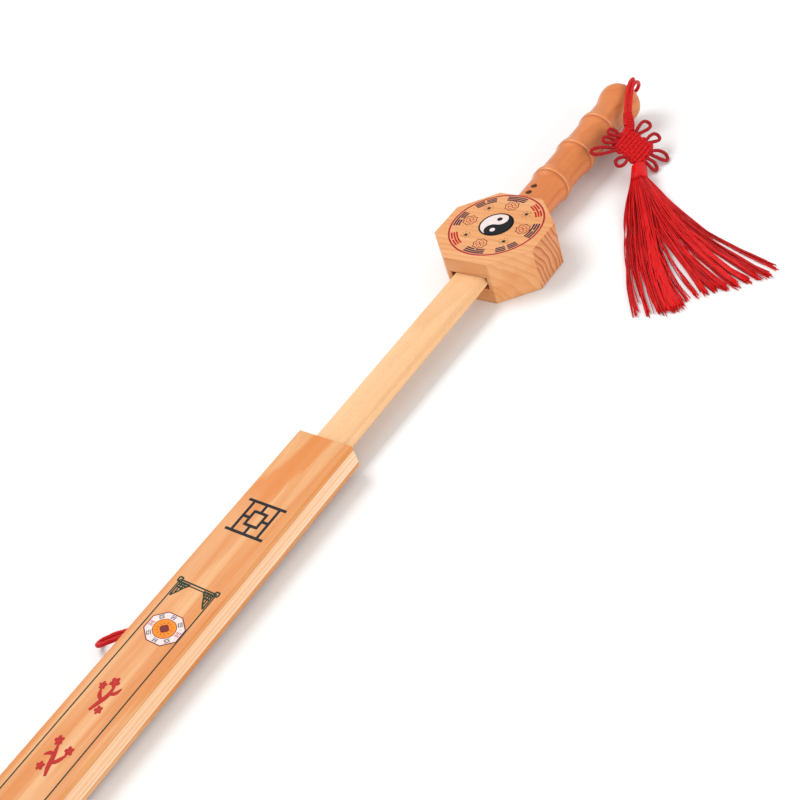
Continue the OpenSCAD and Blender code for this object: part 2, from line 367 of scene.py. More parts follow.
def metal_material(name, colour):
    mat, nt, bsdf = new_material(name)
    coords = texture_coords(nt)
    wear = noise(nt, scaled(nt, coords, (700, 700, 700)), 1.0, 4.0, 0.6)
    tone = ramp(nt, wear, [(0.35, tuple(c * 0.55 for c in colour)), (0.6, colour)])
    nt.links.new(tone, bsdf.inputs["Base Color"])
    bsdf.inputs["Metallic"].default_value = 1.0
    nt.links.new(times_plus(nt, wear, 0.3, 0.15), bsdf.inputs["Roughness"])
    bump(nt, bsdf, wear, 0.3, 0.00005)
    return mat


# ---------------------------------------------------------------- meshes
def piece(name, verts, faces, mat, body, smooth=True, uvs=None, tone=None):
    mesh = bpy.data.meshes.new(name)
    mesh.from_pydata([tuple(v) for v in verts], [], faces)
    mesh.polygons.foreach_set("use_smooth", [smooth] * len(mesh.polygons))
    if uvs is not None:
        layer = mesh.uv_layers.new(name="run")
        flat = []
        for uv in uvs:
            flat.extend(uv)
        layer.data.foreach_set("uv", flat)
    if tone is not None:
        layer = mesh.attributes.new("thread_tone", "FLOAT", "POINT")
        layer.data.foreach_set("value", tone)
    mesh.materials.append(mat)
    mesh.update()
    made = bpy.data.objects.new(name, mesh)
    bpy.context.scene.collection.objects.link(made)
    if body:
        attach(made, body)
    return made


def spline(points, step):
    """Points about step apart on the smooth curve through the given ones."""
    fine = []
    n = len(points)
    for i in range(n - 1):
        a, b, c, d = points[max(i - 1, 0)], points[i], points[i + 1], points[min(i + 2, n - 1)]
        for k in range(16):
            s = k / 16
            square, cube = (2 * a - 5 * b + 4 * c - d) * s * s, (3 * b - a - 3 * c + d) * s ** 3
            fine.append(0.5 * (2 * b + (c - a) * s + square + cube))
    fine.append(points[-1])
    run = [0.0]
    for a, b in zip(fine, fine[1:]):
        run.append(run[-1] + (b - a).length)
    count = max(4, round(run[-1] / step))
    made, j = [], 0
    for i in range(count + 1):
        want = run[-1] * i / count
        while j < len(run) - 2 and run[j + 1] < want:
            j += 1
        span = run[j + 1] - run[j]
        made.append(fine[j].lerp(fine[j + 1], 0 if span == 0 else (want - run[j]) / span))
    return made


def carried_frames(path):
    """A tangent and two normals at each point, carried along with no twist."""
    frames = []
    normal = None
    for i, p in enumerate(path):
        t = (path[min(i + 1, len(path) - 1)] - path[max(i - 1, 0)]).normalized()
        if normal is None:
            side = Vector((0, 0, 1)) if abs(t.z) < 0.8 else Vector((0, 1, 0))
            normal = side.cross(t).normalized()
        else:
            normal = (normal - normal.dot(t) * t).normalized()
        frames.append((t, normal, t.cross(normal)))
    return frames


class Tubes:
    """Gathers tubes into one mesh, with run and turn coordinates and a tone for each."""

    def __init__(self):
        self.verts, self.faces, self.uvs, self.tones = [], [], [], []

    def add(self, path, radius, sides=12, closed=False, tone=0.5, plies=0, pitch=0.006, depth=0.12):
        frames = carried_frames(path)
        base = len(self.verts)
        run = 0.0
        rows = []
        for i, (p, (t, a, b)) in enumerate(zip(path, frames)):
            if i:
                run += (p - path[i - 1]).length
            for k in range(sides):
                angle = 2 * math.pi * k / sides
                rr = radius
                if plies:
                    lobe = abs(math.cos(0.5 * plies * (angle - 2 * math.pi * run / pitch / plies)))
                    rr = radius * (1 - depth + depth * lobe)
                self.verts.append(p + rr * (math.cos(angle) * a + math.sin(angle) * b))
                self.tones.append(tone)
            rows.append(run)
        n = len(path)
        unit = 2.2 * radius
        for i in range(n if closed else n - 1):
            j = (i + 1) % n
            end = rows[i] + (path[j] - path[i]).length
            for k in range(sides):
                m = (k + 1) % sides
                here, there = base + i * sides, base + j * sides
                self.faces.append((here + k, here + m, there + m, there + k))
                u0, u1 = rows[i] / unit, end / unit
                self.uvs += [(u0, k / sides), (u0, (k + 1) / sides), (u1, (k + 1) / sides), (u1, k / sides)]
        if not closed:
            self.faces.append(tuple(base + k for k in reversed(range(sides))))
            self.uvs += [(0, k / sides) for k in range(sides)]
            self.faces.append(tuple(base + (n - 1) * sides + k for k in range(sides)))
            self.uvs += [(0, k / sides) for k in range(sides)]

    def build(self, name, mat, body, slot):
        return piece(name, self.verts, self.faces, mat, body, True, self.uvs, self.tones)


# ---------------------------------------------------------------- places from the CAD
guard_lo, guard_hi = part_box("guard")
board_lo, board_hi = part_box("scabbard_front_board")
handle_lo, handle_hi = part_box("handle")
MOUTH_X = board_hi.x
guard_mid = (guard_lo + guard_hi) / 2
GRIP_X = handle_lo.x
# where the handle's carved nodes are, in mm from the guard
NODE_RUN = (39.0, 77.0, 114.0)
rail_lo, rail_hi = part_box("scabbard_right_rail")
RAIL_Z = (rail_lo.z + rail_hi.z) / 2
RAIL_HALF = (rail_hi.z - rail_lo.z) / 2 / MM

# ---------------------------------------------------------------- camera
camera = bpy.data.objects.new("camera", bpy.data.cameras.new("camera"))
bpy.context.scene.collection.objects.link(camera)
bpy.context.scene.camera = camera
camera.data.sensor_width = 36
camera.data.lens = 57.2
camera.data.dof.use_dof = False
camera.data.clip_start, camera.data.clip_end = 0.02, 30
bpy.context.scene.view_settings.view_transform = "Standard"
right = Vector((0.548682, -0.791857, -0.268163))
down = Vector((-0.664857, -0.218818, -0.714202))
forward = Vector((0.506867, 0.570159, -0.646532))
turn = Matrix((right, -down, -forward)).transposed()
camera.matrix_world = Matrix.Translation((-0.58906, -0.50069, 0.56152)) @ turn.to_4x4()

# ---------------------------------------------------------------- the table's surface
# the sword rests on the guard's front lower edge and the scabbard's far lower edge, so the floor leans
REST_X = guard_lo.x
TIP_X = board_lo.x
TIP_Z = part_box("scabbard_back_board")[0].z
SLOPE = TIP_Z / (REST_X - TIP_X)


def floor_z(x):
    return -(x - REST_X) * SLOPE


# ---------------------------------------------------------------- cords
RED_CORD = cord_material("red_cord", (0.80, 0.006, 0.008), (0.36, 0.001, 0.003))
# a darker copy of the red cord for the lattice knot's ears and the loop's knot: painted shade on the same cord
SHADED_RED_CORD = cord_material("dark_cord", (0.56, 0.005, 0.012), (0.16, 0.001, 0.004))
SILK = silk_material("red_silk", (0.66, 0.003, 0.004), (0.17, 0.0005, 0.002))

upper_route = [
    mm(186, 0, 19.1), mm(196, 0, 19.1), mm(202, 0, 19.1), mm(205, 0, 19.1), mm(208.4, -0.4, 20.6),
    mm(210.6, -2.4, 23.6),
    mm(210.6, -5, 27.8), mm(207.8, -7.2, 31.8), mm(202.6, -8.8, 34.2), mm(194.5, -10.8, 34.9),
    mm(185.4, -13.8, 33.9), mm(176.4, -17.4, 32.2), mm(167.4, -21.2, 30.2), mm(159, -25, 27.8),
    mm(152.4, -28.2, 26),
]
lower_route = [
    mm(186, 0, 15.9), mm(196, 0, 15.9), mm(202, 0, 15.9), mm(205, 0, 15.9), mm(209, -2, 16.2),
    mm(211.8, -5.8, 18.8),
    mm(211.6, -9, 23.8), mm(208, -10.8, 29), mm(202.4, -11.8, 32.2), mm(195.2, -13.5, 33.5),
    mm(186.6, -16.6, 32.9), mm(177.6, -20.2, 31.3), mm(168.6, -24, 29.2), mm(160.2, -27.8, 26.8),
    mm(153.4, -31, 24.8),
]
CORD_D = 3.2 * MM


def route_length(path):
    return sum((b - a).length for a, b in zip(path, path[1:]))


def strand(name, route, nodes):
    path = spline(route, 0.0007)
    tubes = Tubes()
    tubes.add(path, CORD_D / 2, 20, plies=3, pitch=0.0075, depth=0.10)
    made = tubes.build(name, RED_CORD, None, "red_cord")
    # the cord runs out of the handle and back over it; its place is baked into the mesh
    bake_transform(made)
    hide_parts(*nodes)


strand("cord_upper", upper_route, ["tassel_strand_upper", "tassel_cord_core"])
strand("cord_lower", lower_route, ["tassel_strand_lower"])

# the hanging loop on the scabbard's left rail
LOOP_D = 3.0 * MM
loop_route = [
    mm(-375, 32.6, 8.2), mm(-377, 34.7, 7.2), mm(-379, 37.3, 6.4), mm(-381.2, 40.3, 5.9),
    mm(-383.9, 43.8, 5.7), mm(-387.1, 47, 5.7), mm(-390.7, 49.5, 5.8), mm(-393.5, 50.8, 6.2),
    mm(-396.4, 50.6, 7.4), mm(-398.5, 49.1, 9),
    mm(-399.4, 46.6, 10.6), mm(-398.7, 43.8, 11.8), mm(-396.7, 41.4, 12.4), mm(-393, 37.8, 12.8),
    mm(-389.3, 33.9, 13.3), mm(-386.3, 30.7, 13.9), mm(-383.2, 28.2, 14.4), mm(-380, 27.2, 14.5),
    mm(-377.2, 27.3, 14), mm(-375, 28, 12.6), mm(-373.6, 29.1, 11), mm(-373.1, 30.1, 9.5),
]
loop_path = spline(loop_route, 0.0008)
tubes = Tubes()
tubes.add(loop_path, LOOP_D / 2 * 1.04, 20, plies=3, pitch=0.0085, depth=0.12)
hanger = tubes.build("hanging_loop", RED_CORD, "hanger", "dark_cord")
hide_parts("hanger_cord")

# its overhand knot, with two short cut ends
knot_lo, knot_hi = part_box("hanger_knot")
knot_at = (knot_lo + knot_hi) / 2
SHORT_R = 0.00145
tubes = Tubes()
trefoil = []
for i in range(72):
    t = 2 * math.pi * i / 72
    trefoil.append(knot_at + Vector((math.sin(t) + 2 * math.sin(2 * t), math.cos(t) - 2 * math.cos(2 * t),
                                     -1.5 * math.sin(3 * t))) * 0.00105)
tubes.add(trefoil, SHORT_R, 16, closed=True, plies=3, pitch=0.0085, depth=0.12)
for swing in (-1, 1):
    start = knot_at + mm(1.0, 0.6 * swing, 0)
    tubes.add(spline([start, start + mm(3, 1.4 * swing, -0.6), start + mm(5.6, 3.2 * swing, -2.2)], 0.0008),
              SHORT_R, 14, plies=3, pitch=0.0085, depth=0.12)
# the knot is the loop's own cord, painted darker as painted shade
loop_knot = tubes.build("hanging_loop_knot", SHADED_RED_CORD, "hanger", "dark_cord")
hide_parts("hanger_knot")

# ---------------------------------------------------------------- lattice knot
KNOT_MID = mm(139.5, -39.5, 16.5)
K_ALONG = Vector((-0.722, -0.548, -0.423)).normalized()
K_ACROSS = Vector((0.692, -0.575, -0.436))
K_ACROSS = (K_ACROSS - K_ACROSS.dot(K_ALONG) * K_ALONG).normalized()
K_UP = K_ACROSS.cross(K_ALONG)
if K_UP.z < 0:
    K_UP = -K_UP


def on_knot(a, p, n=0.0):
    return KNOT_MID + (K_ALONG * a + K_ACROSS * p + K_UP * n) * MM


KNOT_N = 8
KNOT_D = 2.85
EAR_D = 2.8
KNOT_PITCH = 3.05
WEAVE = 1.2
half = KNOT_N * KNOT_PITCH / 2
ROOT2 = math.sqrt(2)


def lattice_point(s, t, n):
    """s and t run along the lattice's two sides, in mm from its middle."""
    return on_knot((s + t) / ROOT2, (s - t) / ROOT2, n)


tubes = Tubes()
for way in (0, 1):
    for i in range(KNOT_N):
        across = (i - (KNOT_N - 1) / 2) * KNOT_PITCH
        path = []
        steps = KNOT_N * 5
        for k in range(steps + 1):
            s = -half + 2 * half * k / steps
            phase = math.pi * ((s + half) / KNOT_PITCH - 0.5) + math.pi * (i + way)
            lift = WEAVE * math.cos(phase)
            bow = 0.5 * math.cos(math.pi * s / (2 * half))
            place = (s, across) if way == 0 else (across, s)
            path.append(lattice_point(*place, lift + bow))
        tubes.add(path, KNOT_D / 2 * MM, 12, plies=3, pitch=0.005, depth=0.14)
# small turns that join neighbouring runs round the edges
for way in (0, 1):
    for end in (-1, 1):
        for i in range(0, KNOT_N - 1):
            if (i + (end > 0)) % 2:
                continue
            a = (i - (KNOT_N - 1) / 2) * KNOT_PITCH
            mid = a + KNOT_PITCH / 2
            path = []
            for k in range(11):
                angle = math.pi * k / 10
                s = end * (half - 0.3 + 1.9 * math.sin(angle))
                t = mid - KNOT_PITCH / 2 * 1.05 * math.cos(angle)
                path.append(lattice_point(*((s, t) if way == 0 else (t, s)), 0.4 * math.cos(angle)))
            tubes.add(path, KNOT_D / 2 * MM, 12)
knot = tubes.build("lattice_knot", RED_CORD, "tassel", "red_cord")
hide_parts("tassel_knot")

# ears: base and tip on the lattice's plane, width, how far the tip stands up, and the height of the whole
ears = [
    ((-12, 4.5), (-22.5, 18.5), 9.0, 1.5, 0.25),
    ((-4.5, 11), (-10.5, 24.5), 8.4, 0.8, 0.2),
    ((4.5, 11.5), (8.5, 28.5), 9.6, -1.5, 0.1),
    ((10.5, 6), (19.0, 16.5), 7.6, -2.5, 0.0),
    ((2.5, -12), (8.0, -38.5), 8.0, 1.5, -0.1),
    ((9.5, -7), (17.0, -18.0), 8.4, -1.0, 0.1),
    ((-8.5, -8), (-13.5, -18.5), 7.4, 0.6, 0.1),
    ((-3.5, -12), (-4.0, -26.0), 7.4, 2.0, 0.0),
]
tubes = Tubes()
for (ba, bp), (ta, tp), width, lift, raised in ears:
    base, tip = Vector((ba, bp)), Vector((ta, tp))
    out = tip - base
    side = Vector((-out.y, out.x)).normalized()
    path = []
    steps = 44
    for k in range(steps + 1):
        q = k / steps
        reach = (1 - math.cos(2 * math.pi * q)) / 2
        swing = math.sin(2 * math.pi * q) * (0.30 + 0.70 * reach ** 1.2)
        flat = base + out * reach + side * (swing * width * 0.56)
        height = lift * reach + 0.9 * math.sin(2 * math.pi * q) * (1 - reach)
        height += 1.2 * math.sin(math.pi * reach)
        path.append(on_knot(flat.x, flat.y, height + raised))
    tubes.add(path, EAR_D / 2 * MM, 14, plies=3, pitch=0.006, depth=0.10)
# the ears are the lattice's own red cord, painted darker as painted shade
tubes.build("knot_ears", SHADED_RED_CORD, "tassel", "red_cord")

# the wrapped neck where both strands enter the lattice
tubes = Tubes()
neck_a, neck_b = mm(165.5, -23.4, 29.2), on_knot(-14.5, 0.5, 1.0)
axis = (neck_b - neck_a).normalized()
side_a = axis.cross(Vector((0, 0, 1))).normalized()
side_b = axis.cross(side_a)
path = []
turns = 8
for k in range(turns * 22 + 1):
    q = k / (turns * 22)
    angle = 2 * math.pi * turns * q
    grow = 1.0 + 0.35 * math.sin(math.pi * q)
    round_neck = math.cos(angle) * side_a * 2.5 + math.sin(angle) * side_b * 1.9
    path.append(neck_a.lerp(neck_b, q) + round_neck * MM * grow)
tubes.add(path, 0.00098, 10)
tubes.build("neck_wrap", RED_CORD, "tassel", "red_cord")

# ---------------------------------------------------------------- head, binding and fringe
head_a, head_b = mm(127.5, -49.4, 9.0), mm(104, -61, 7.0)
axis = (head_b - head_a).normalized()
side_a = Vector((0, 0, 1)).cross(axis).normalized()
side_b = axis.cross(side_a)
verts, faces, uvs = [], [], []
rings, sides = 60, 108
# the wound part takes this share of the head's line, and its section is a little flat
CAP = 0.76
FLAT = 0.94
for i in range(rings + 1):
    q = i / rings
    r = 5.5 + 1.15 * q
    r *= 0.62 + 0.38 * ease(q / 0.16)
    if q > 0.80:
        r -= 0.35 * math.sin(math.pi * (q - 0.80) / 0.20)
    for k in range(sides):
        angle = 2 * math.pi * k / sides
        ridge = 0.18 * abs(math.sin(angle * 18 + 0.25 * math.sin(q * 9))) + 0.06 * math.sin(angle * 7 + 2)
        fold = -0.5 * math.exp(-((math.degrees(angle) - 262) / 14) ** 2)
        rr = (r + ridge + fold) * MM
        outwards = math.cos(angle) * side_a + FLAT * math.sin(angle) * side_b
        verts.append(head_a.lerp(head_b, q * CAP) + rr * outwards)
for i in range(rings):
    for k in range(sides):
        m = (k + 1) % sides
        faces.append((i * sides + k, i * sides + m, (i + 1) * sides + m, (i + 1) * sides + k))
        u0, u1 = i * 0.02, (i + 1) * 0.02
        uvs += [(u0, k / 6), (u0, (k + 1) / 6), (u1, (k + 1) / 6), (u1, k / 6)]
faces.append(tuple(reversed(range(sides))))
uvs += [(0, 0)] * sides
faces.append(tuple(rings * sides + k for k in range(sides)))
uvs += [(0, 0)] * sides
rng = random.Random(5)
bands = [rng.random() for _ in range(sides)]
tone = [0.55 + 0.4 * (bands[k] + bands[(k + 1) % sides]) / 2 for k in range(sides)] * (rings + 1)
head = piece("tassel_head_floss", verts, faces, SILK, "tassel", True, uvs, tone)
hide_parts("tassel_head")

tubes = Tubes()
path = []
turns = 3
for k in range(turns * 40 + 1):
    q = k / (turns * 40)
    angle = 2 * math.pi * turns * q
    at = head_a.lerp(head_b, CAP * (0.84 + 0.13 * q))
    path.append(at + (math.cos(angle) * side_a + FLAT * math.sin(angle) * side_b) * 6.35 * MM)
tubes.add(path, 0.00045, 8, tone=0.75)
binding = tubes.build("tassel_binding_thread", SILK, "tassel", "red_silk")
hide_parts("tassel_binding")

# locks of the fringe: where a lock's tips lie, how many threads, how wide it spreads, how deep in red
locks = [
    ((-23, -123), 16, 3.0, 0.35), ((-21, -129), 12, 2.5, 0.4), ((-17, -135), 16, 2.5, 0.45),
    ((-15, -139), 46, 3.2, 0.6), ((-12, -144), 66, 3.2, 0.7), ((-7, -147), 52, 3.0, 0.7),
    ((-1, -150), 9, 3.0, 0.45), ((4, -154), 8, 3.0, 0.4), ((10, -157), 34, 2.6, 0.6),
    ((15, -162), 36, 2.8, 0.65), ((18, -168), 46, 3.0, 0.65), ((23, -174), 62, 3.0, 0.7),
    ((29, -179), 48, 3.0, 0.65), ((34, -184), 34, 2.6, 0.6), ((39, -189), 26, 2.6, 0.55),
    ((47, -192), 9, 3.5, 0.3),
]
rng = random.Random(11)
tubes = Tubes()
share = 1.0
# the fan's first and last direction, in degrees
fan_low, fan_high = 205.0, 249.0
# a lock at least this deep is one of the thick ones
DENSE = 0.5
fringe_root = head_a.lerp(head_b, 0.66)
for (tx, ty), count, spread, depth in locks:
    lock_bend = rng.uniform(-2.5, 2.5)
    lock_kink = rng.uniform(-1.6, 1.6)
    lock_place = rng.uniform(-0.05, 0.05)
    for _ in range(max(3, round(count * share))):
        stray = rng.random() < 0.09 and (depth > DENSE or tx > 30)
        wide = spread * (2.0 if stray else 0.85)
        tip = Vector((tx + rng.gauss(0, wide * 0.45), ty + rng.gauss(0, wide * 0.45)))
        way = math.degrees(math.atan2(tip.y + 61, tip.x - 104)) % 360
        q = clamp((way - fan_low) / (fan_high - fan_low))
        # where in the head it starts
        spot = clamp(q + lock_place + max(-0.12, min(0.12, rng.gauss(0, 0.09))))
        # the dense locks start nearer the head's middle, so the thin ones at the side stand apart
        if depth > DENSE:
            spot = 0.22 + 0.78 * spot
        lateral = (spot - 0.5) * 12.0
        deep = rng.uniform(-1, 1) * math.sqrt(max(0.0, 1 - (lateral / 6.3) ** 2)) * 5.2
        start = fringe_root + side_a * lateral * MM + side_b * deep * MM
        length = (tip - Vector((start.x, start.y)) / MM).length
        cut = rng.uniform(-0.03, 0.02) - (rng.random() < 0.12) * rng.uniform(0.02, 0.10)
        end = Vector((start.x / MM, start.y / MM)).lerp(tip, 1 + cut)
        first = Vector((start.x, start.y)) / MM
        span = end - first
        normal = Vector((-span.y, span.x)).normalized()
        # it leaves the head spread by its place there, and bows outwards before it lies towards its tip
        out_way = math.radians(199 + 36 * spot + rng.gauss(0, 2.0))
        in_way = math.radians(216 + 37 * q + lock_bend + rng.gauss(0, 1.6))
        reach_a, reach_b = length * 0.36, length * 0.34
        bend_a = first + Vector((math.cos(out_way), math.sin(out_way))) * reach_a
        bend_b = end - Vector((math.cos(in_way), math.sin(in_way))) * reach_b
        kink = lock_kink + rng.gauss(0, 0.7)
        layer = rng.random()
        pile = 1.2 + 5.2 * layer * (0.35 + 0.65 * depth)
        points = []
        for k in range(10):
            s = k / 9
            r = 1 - s
            flat_p = first * r ** 3 + bend_a * (3 * s * r * r) + bend_b * (3 * s * s * r) + end * s ** 3
            flat_p = flat_p + normal * (kink * math.sin(2 * math.pi * s) * 0.7)
            flat_p = flat_p + Vector((rng.gauss(0, 0.25), rng.gauss(0, 0.25))) * ease(s * 2)
            fall = math.exp(-(s / 0.24) ** 1.7)
            ground = floor_z(flat_p.x * MM) / MM + 0.5
            height = ground + pile * (1 - 0.62 * s) * (0.55 + 0.45 * math.cos(2.2 * s + layer * 5))
            height = max(ground, height)
            z = start.z / MM * fall + height * (1 - fall)
            points.append(mm(flat_p.x, flat_p.y, z))
        tone_value = clamp(rng.gauss(0.40 + 0.45 * depth, 0.22)) if not stray else rng.uniform(0, 0.5)
        # threads lowest in the pile are painted darker: painted shade under the threads above
        if layer < 0.3:
            tone_value *= 0.6
        radius = 0.00030 if stray else rng.uniform(0.00034, 0.00052)
        tubes.add(spline(points, 0.0065), radius, 5, tone=tone_value)
fringe = tubes.build("tassel_fringe_threads", SILK, "tassel", "red_silk")
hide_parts("tassel_fringe")

# ---------------------------------------------------------------- wood on the CAD pieces
# each wood's four tones, from the palest early growth to the darkest lines
DEEP = (0.42, 0.120, 0.030)
WARM = ((0.73, 0.385, 0.168), (0.63, 0.215, 0.042), (0.62, 0.215, 0.050), DEEP)
PALE = ((0.88, 0.61, 0.41), (0.80, 0.47, 0.26), (0.60, 0.27, 0.10), DEEP)
GUARD_TONES = ((0.75, 0.365, 0.160), (0.69, 0.285, 0.098), (0.54, 0.185, 0.050), (0.36, 0.062, 0.010))
BLADE_TONES = ((0.82, 0.500, 0.265), (0.77, 0.425, 0.195), (0.66, 0.315, 0.115), (0.52, 0.22, 0.07))
HANDLE_TONES = ((0.70, 0.235, 0.075), (0.62, 0.185, 0.050), (0.46, 0.120, 0.030), (0.24, 0.055, 0.015))
PEG_TONES = ((0.075, 0.030, 0.018), (0.055, 0.022, 0.014), (0.030, 0.012, 0.008), (0.01, 0.004, 0.003))
BOARD_STREAKS = (4.5, 80, 80)
front_wood = wood("front_board_wood", 0, (6, -60), 9.0, WARM, tilt=(0.012, 0.02), warp=10, warp_scale=7,
                  streak=1.0, ring_strength=0.5, fibre=0.26, seed=31, patch=mouth_patch,
                  streak_scale=BOARD_STREAKS)
back_wood = wood("back_board_wood", 0, (-14, 70), 8.0, WARM, tilt=(-0.01, 0.015), warp=9, warp_scale=7,
                 streak=1.0, ring_strength=0.5, fibre=0.26, seed=77, streak_scale=BOARD_STREAKS)
left_rail_wood = wood("left_rail_wood", 0, (60, 40), 2.6, PALE, warp=2.2, streak=0.6, ring_strength=0.5,
                      fibre=0.22, seed=12, patch=glue_seam)
right_rail_wood = wood("right_rail_wood", 0, (-30, 90), 3.0, PALE, warp=2.6, warp_scale=6, streak=0.7,
                       ring_strength=0.55, fibre=0.22, seed=51, patch=glue_seam)
block_wood = wood("end_block_wood", 0, (10, -30), 3.0, PALE, warp=2.0, streak=0.6, ring_strength=0.6,
                  fibre=0.22, seed=92, end_dark=0.5)
guard_wood = wood("guard_wood", 1, (-90, -15), 4.6, GUARD_TONES, tilt=(0.03, 0.04), warp=3.2, warp_scale=16,
                  streak=0.8, ring_strength=0.42, fibre=0.24, seed=23, end_dark=1.0)
blade_wood = wood("blade_wood", 0, (4, 160), 4.4, BLADE_TONES, tilt=(0.004, 0.01), warp=2.4, warp_scale=6,
                  streak=0.6, ring_strength=0.30, fibre=0.25, seed=64, speckle=0.40)
# the handle's nodes carry a painted highlight line with painted shade beside it
handle_wood = wood("handle_wood", 0, (3, 6), 5.5, HANDLE_TONES, tilt=(0.02, 0.03), warp=5.0, warp_scale=10,
                   streak=0.8, ring_strength=0.35, fibre=0.25, seed=8, rough=0.38, coat=0.18, end_dark=0.35,
                   patch=node_highlight_and_shade)
peg_wood = wood("peg_wood", 2, (50, 0), 1.2, PEG_TONES, warp=0.5, streak=0.6, ring_strength=0.7, fibre=0.4,
                seed=3, rough=0.5, coat=0.1)
BRASS = metal_material("eye_brass", (0.80, 0.60, 0.28))

finishes = {
    "guard": guard_wood, "blade": blade_wood, "handle": handle_wood, "tang_pegs": peg_wood,
    "scabbard_front_board": front_wood, "scabbard_back_board": back_wood,
    "scabbard_left_rail": left_rail_wood, "scabbard_right_rail": right_rail_wood,
    "scabbard_end_block": block_wood, "hanger_eye": BRASS,
}
for name, mat in finishes.items():
    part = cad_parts[name]
    part.data.materials.clear()
    part.data.materials.append(mat)
# how much each piece's edges are eased, in mm
eased = {
    "guard": 1.8, "blade": 0.35, "scabbard_front_board": 0.25, "scabbard_back_board": 0.25,
    "scabbard_left_rail": 0.25, "scabbard_right_rail": 0.25, "scabbard_end_block": 0.3,
}
for name, width in eased.items():
    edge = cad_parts[name].modifiers.new("eased_edges", "BEVEL")
    edge.width = width * MM
    edge.segments = 3
    edge.limit_method = "ANGLE"
    edge.angle_limit = math.radians(28)
    edge.harden_normals = True

# ---------------------------------------------------------------- prints
RED_INK = ink("ink_red", (0.42, 0.010, 0.006), 0.96)
CRIMSON_INK = ink("ink_crimson", (0.36, 0.012, 0.030), 0.94)
BLACK_INK = ink("ink_black", (0.004, 0.004, 0.006), 1.0)
WHITE_INK = ink("ink_white", (0.72, 0.60, 0.58), 0.98)
GREEN_INK = ink("ink_green", (0.002, 0.024, 0.011), 0.98)
PLUM_INK = ink("ink_plum", (0.050, 0.010, 0.040), 0.94)
NAVY_INK = ink("ink_navy", (0.012, 0.014, 0.10), 0.95)
ORANGE_INK = ink("ink_orange", (0.80, 0.215, 0.006), 0.98)
BROWN_INK = ink("ink_brown", (0.17, 0.016, 0.010), 0.96)


def around(r, angle, x=0.0, y=0.0):
    """The point at r from (x, y), the angle in radians."""
    return x + r * math.cos(angle), y + r * math.sin(angle)


class Print:
    """Flat shapes of one ink, laid just above a face. Points are in mm from the print's middle."""

    def __init__(self, origin, layer=0):
        self.origin = origin
        self.z = 0.045 + 0.03 * layer
        self.verts, self.faces = [], []

    def lift(self):
        self.z += 0.0015

    def poly(self, points):
        base = len(self.verts)
        self.verts += [self.origin + mm(x, y, self.z) for x, y in points]
        area = sum(a[0] * b[1] - b[0] * a[1] for a, b in zip(points, points[1:] + points[:1]))
        order = range(len(points)) if area > 0 else reversed(range(len(points)))
        self.faces.append(tuple(base + i for i in order))

    def bar(self, a, b, width):
        ax, ay = a
        bx, by = b
        length = math.hypot(bx - ax, by - ay)
        self.lift()
        nx, ny = -(by - ay) / length * width / 2, (bx - ax) / length * width / 2
        self.poly([(ax + nx, ay + ny), (bx + nx, by + ny), (bx - nx, by - ny), (ax - nx, ay - ny)])

    def stroke(self, points, width):
        """A brush stroke through the points; width is a number or a function of its length's share."""
        path = [Vector((x, y, 0)) for x, y in points]
        if len(path) > 2:
            path = spline(path, max(0.35, route_length(path) / 26))
        left, right = [], []
        self.lift()
        n = len(path)
        for i, p in enumerate(path):
            t = (path[min(i + 1, n - 1)] - path[max(i - 1, 0)]).normalized()
            w = width(i / (n - 1)) if callable(width) else width
            left.append((p.x - t.y * w / 2, p.y + t.x * w / 2))
            right.append((p.x + t.y * w / 2, p.y - t.x * w / 2))
        for i in range(n - 1):
            self.poly([left[i], left[i + 1], right[i + 1], right[i]])

    def disc(self, x, y, r, n=40):
        self.poly([around(r, 2 * math.pi * i / n, x, y) for i in range(n)])

    def ring(self, x, y, r, width, n, wave=0.0, waves=0):
        def at(i, radius):
            angle = math.radians(360.0 * i / n)
            return around(radius + wave * math.cos(waves * angle), angle, x, y)
        inner, outer = r - width / 2, r + width / 2
        for i in range(n):
            self.poly([at(i, inner), at(i, outer), at(i + 1, outer), at(i + 1, inner)])

    def build(self, name, mat, body, slot):
        return piece(name, self.verts, self.faces, mat, body, False)


# the round emblem on the guard: a ring, eight groups of bars, four medallions, four stars and a two-part disc
top = Vector((guard_mid.x, guard_mid.y, guard_hi.z)) + mm(4.1, 0.1, 0)
RING_R = 35.6
red, plum, black, white, green, brown = (Print(top, k) for k in (0, 1, 3, 2, 1, 1))
circle = Print(top, 0)
circle.ring(0, 0, RING_R, 1.35, 160)
# the eight ways that three bars can each be whole or split
EIGHT = [0b111, 0b110, 0b101, 0b100, 0b011, 0b010, 0b001, 0b000]
BAR_R, BAR_STEP, BAR_HALF = 33.4, 1.95, 0.66
BAR_GAP = 0.8
MEDALLION_AT, STAR_AT = 23, 23.2
for i in range(8):
    target = red if i in (3, 7) else plum
    for row in range(3):
        r = BAR_R - row * BAR_STEP
        spread = 8.6 - row * 0.5
        solid = EIGHT[(i * 3) % 8] >> row & 1
        for s0, s1 in ([(-spread, spread)] if solid else [(-spread, -BAR_GAP), (BAR_GAP, spread)]):
            count = 8
            for k in range(count):
                b0 = math.radians(45 * i) + (s0 + (s1 - s0) * k / count) / r
                b1 = math.radians(45 * i) + (s0 + (s1 - s0) * (k + 1) / count) / r
                low, high = r - BAR_HALF, r + BAR_HALF
                target.poly([around(low, b0), around(high, b0), around(high, b1), around(low, b1)])
